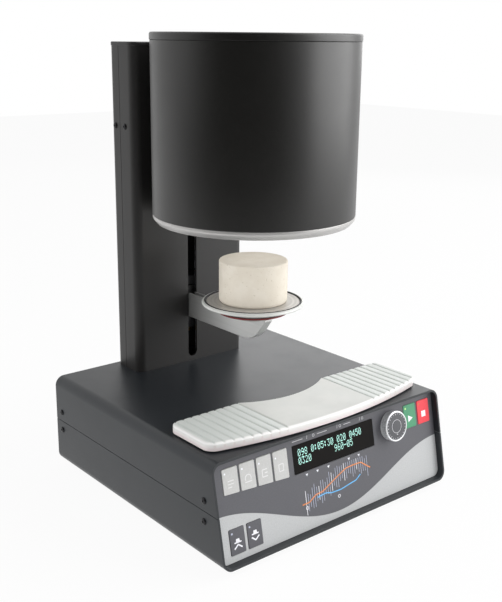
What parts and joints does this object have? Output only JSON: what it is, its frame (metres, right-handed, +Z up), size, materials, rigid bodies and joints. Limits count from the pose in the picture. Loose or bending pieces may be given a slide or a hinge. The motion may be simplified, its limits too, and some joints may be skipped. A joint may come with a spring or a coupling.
{
  "type": "dental porcelain furnace",
  "caption": "Tabletop firing furnace: keypad base with cooling tray, rear column, drum-shaped heating chamber and a motor-driven arm that lifts the firing pedestal into it.",
  "frame": {"origin": "on the surface under the feet, midway across and along the base", "axes": "+Z up, -Y to the front with its panel, +Y to the column and rear panel, +X to the right seen from the front"},
  "size_m": [0.2726, 0.2674, 0.4158],
  "materials": {
    "black_paint": "satin fine texture",
    "drum_paint": "smooth semi-gloss",
    "panel_aluminium": "satin",
    "foil": "fine matt",
    "zinc_steel": "zinc plated",
    "dark_screws": "blackened",
    "black_rubber": "matt",
    "smoked_window": "gloss",
    "circuit_board": "solder mask",
    "transformer_core": "lacquered",
    "connector_black": "moulded",
    "brass": "machined",
    "motor_black": "satin",
    "ground_steel": "ground",
    "lift_aluminium": "brushed",
    "bright_ring": "turned and brushed",
    "red_silicone": "matt",
    "firebrick": "porous",
    "fibre_board": "pressed ceramic fibre",
    "heating_wire": "oxidised",
    "alumina": "matt",
    "tray_white": "glazed",
    "knob_metal": "knurled",
    "knob_dark": "satin",
    "key_light": "satin",
    "key_dark": "satin",
    "key_green": "satin",
    "key_red": "satin"
  },
  "bodies": {
    "housing": {"lower_shell": "black_paint", "upper_shell": "black_paint", "case_screws": "dark_screws", "side_rails": "zinc_steel", "front_panel": "panel_aluminium", "keypad_foil": "foil", "display_window": "smoked_window", "display_module": "circuit_board", "control_board": "circuit_board", "rear_panel": "black_paint", "power_inlet": "connector_black", "fuse_holders": "connector_black", "vacuum_fitting": "brass", "feet": "black_rubber", "foot_screws": "zinc_steel", "main_board": "circuit_board", "transformer": "transformer_core", "cooling_tray": "tray_white", "tray_feet": "black_rubber", "column_front_cover": "black_paint", "column_rear_cover": "black_paint", "column_cap": "black_paint", "column_spine": "zinc_steel", "guide_rods": "ground_steel", "rod_blocks": "lift_aluminium", "screw_bearings": "ground_steel", "lift_motor": "motor_black", "drum_bracket": "black_paint", "bracket_screws": "zinc_steel", "drum_shell": "drum_paint", "drum_lid": "drum_paint", "lid_screws": "dark_screws", "drum_base_ring": "bright_ring", "insulation": "fibre_board", "heating_muffle": "alumina", "heating_coil": "heating_wire", "thermocouple": "alumina"},
    "lift_table": {"carriage": "lift_aluminium", "guide_bushes": "brass", "lift_nut": "brass", "lift_arm": "lift_aluminium", "arm_screws": "dark_screws", "dish": "lift_aluminium", "dish_seal": "black_rubber", "dish_plate": "lift_aluminium", "dish_gasket": "red_silicone"},
    "pedestal": {"firing_pedestal": "firebrick"},
    "drive_screw": {"lead_screw": "ground_steel"},
    "knob": {"selector_knob": "knob_metal", "knob_face": "knob_dark", "encoder_shaft": "ground_steel"},
    "rocker": {"power_switch": "connector_black"},
    "programme_key_1_cap": {"programme_key_1": "key_light"},
    "programme_key_2_cap": {"programme_key_2": "key_light"},
    "programme_key_3_cap": {"programme_key_3": "key_light"},
    "programme_key_4_cap": {"programme_key_4": "key_light"},
    "lift_up_key_cap": {"lift_up_key": "key_dark"},
    "lift_down_key_cap": {"lift_down_key": "key_dark"},
    "start_key_cap": {"start_key": "key_green"},
    "stop_key_cap": {"stop_key": "key_red"}
  },
  "joints": [
    {"name": "lift_travel", "type": "slide", "parent": "housing", "child": "lift_table", "axis": [0, 0, 1], "range_m": [-0.034, 0.0737]},
    {"name": "screw_turn", "type": "hinge", "parent": "housing", "child": "drive_screw", "pos_m": [0, 0.1115, 0.1], "axis": [0, 0, 1], "range_deg": [-3336, 1550]},
    {"name": "pedestal_lift_off", "type": "slide", "parent": "lift_table", "child": "pedestal", "axis": [0, 0, 1], "range_m": [0, 0.025]},
    {"name": "knob_turn", "type": "hinge", "parent": "housing", "child": "knob", "pos_m": [0.0731, -0.11432, 0.06991], "axis": [0, -0.9799, 0.1994], "continuous": true},
    {"name": "rocker_tilt", "type": "hinge", "parent": "housing", "child": "rocker", "pos_m": [0.0755, 0.12605, 0.057], "axis": [1, 0, 0], "range_deg": [-14, 0]},
    {"name": "programme_key_1_press", "type": "slide", "parent": "housing", "child": "programme_key_1_cap", "axis": [0, 0.9799, -0.1994], "range_m": [0, 0.0005], "stiffness_N_per_m": 800, "springref_m": -0.0003},
    {"name": "programme_key_2_press", "type": "slide", "parent": "housing", "child": "programme_key_2_cap", "axis": [0, 0.9799, -0.1994], "range_m": [0, 0.0005], "stiffness_N_per_m": 800, "springref_m": -0.0003},
    {"name": "programme_key_3_press", "type": "slide", "parent": "housing", "child": "programme_key_3_cap", "axis": [0, 0.9799, -0.1994], "range_m": [0, 0.0005], "stiffness_N_per_m": 800, "springref_m": -0.0003},
    {"name": "programme_key_4_press", "type": "slide", "parent": "housing", "child": "programme_key_4_cap", "axis": [0, 0.9799, -0.1994], "range_m": [0, 0.0005], "stiffness_N_per_m": 800, "springref_m": -0.0003},
    {"name": "lift_up_key_press", "type": "slide", "parent": "housing", "child": "lift_up_key_cap", "axis": [0, 0.9799, -0.1994], "range_m": [0, 0.0005], "stiffness_N_per_m": 800, "springref_m": -0.0003},
    {"name": "lift_down_key_press", "type": "slide", "parent": "housing", "child": "lift_down_key_cap", "axis": [0, 0.9799, -0.1994], "range_m": [0, 0.0005], "stiffness_N_per_m": 800, "springref_m": -0.0003},
    {"name": "start_key_press", "type": "slide", "parent": "housing", "child": "start_key_cap", "axis": [0, 0.9799, -0.1994], "range_m": [0, 0.0005], "stiffness_N_per_m": 800, "springref_m": -0.0003},
    {"name": "stop_key_press", "type": "slide", "parent": "housing", "child": "stop_key_cap", "axis": [0, 0.9799, -0.1994], "range_m": [0, 0.0005], "stiffness_N_per_m": 800, "springref_m": -0.0003}
  ],
  "couplings": [
    {"joint": "screw_turn", "follows": "lift_travel", "rad_per_m": -785.4}
  ]
}
